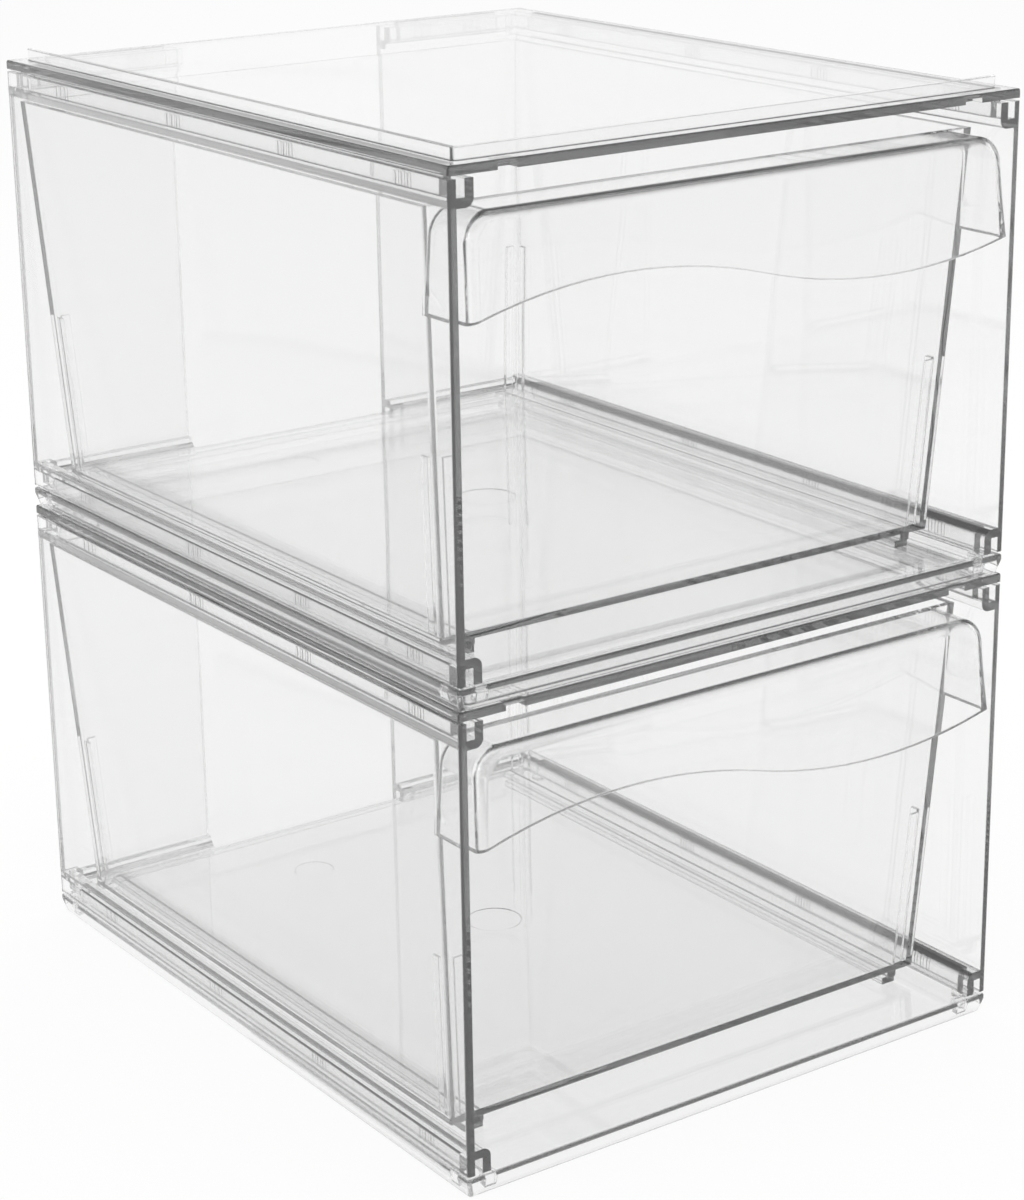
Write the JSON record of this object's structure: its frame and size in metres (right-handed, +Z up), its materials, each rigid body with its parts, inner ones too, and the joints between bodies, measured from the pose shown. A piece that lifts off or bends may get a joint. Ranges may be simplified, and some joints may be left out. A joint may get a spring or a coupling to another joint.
{
  "type": "stackable drawer box",
  "caption": "clear plastic open-front boxes that stack rim in skirt, each with a tapered pull-out drawer under a wavy handle hood, for keeping craft supplies and parts",
  "frame": {"origin": "under the middle of the stack, on the surface that it stands on", "axes": "+X to the right of someone facing the drawers, +Y to the back, +Z up; the drawers pull out along -Y"},
  "size_m": [0.24, 0.3016, 0.3567],
  "materials": {
    "clear_case": "clear",
    "clear_drawer": "clear"
  },
  "bodies": {
    "lower_case": {"lower_base_panel": "clear_case", "lower_left_side_panel": "clear_case", "lower_right_side_panel": "clear_case", "lower_left_back_panel": "clear_case", "lower_right_back_panel": "clear_case", "lower_top_panel": "clear_case"},
    "lower_drawer": {"lower_drawer": "clear_drawer"},
    "upper_case": {"upper_base_panel": "clear_case", "upper_left_side_panel": "clear_case", "upper_right_side_panel": "clear_case", "upper_left_back_panel": "clear_case", "upper_right_back_panel": "clear_case", "upper_top_panel": "clear_case"},
    "upper_drawer": {"upper_drawer": "clear_drawer"}
  },
  "joints": [
    {"name": "lower_drawer_slide", "type": "slide", "parent": "lower_case", "child": "lower_drawer", "axis": [0, -1, 0], "range_m": [0, 0.23]},
    {"name": "upper_unit_lift", "type": "slide", "parent": "lower_case", "child": "upper_case", "axis": [0, 0, 1], "range_m": [0, 0.05]},
    {"name": "upper_drawer_slide", "type": "slide", "parent": "upper_case", "child": "upper_drawer", "axis": [0, -1, 0], "range_m": [0, 0.23]}
  ]
}
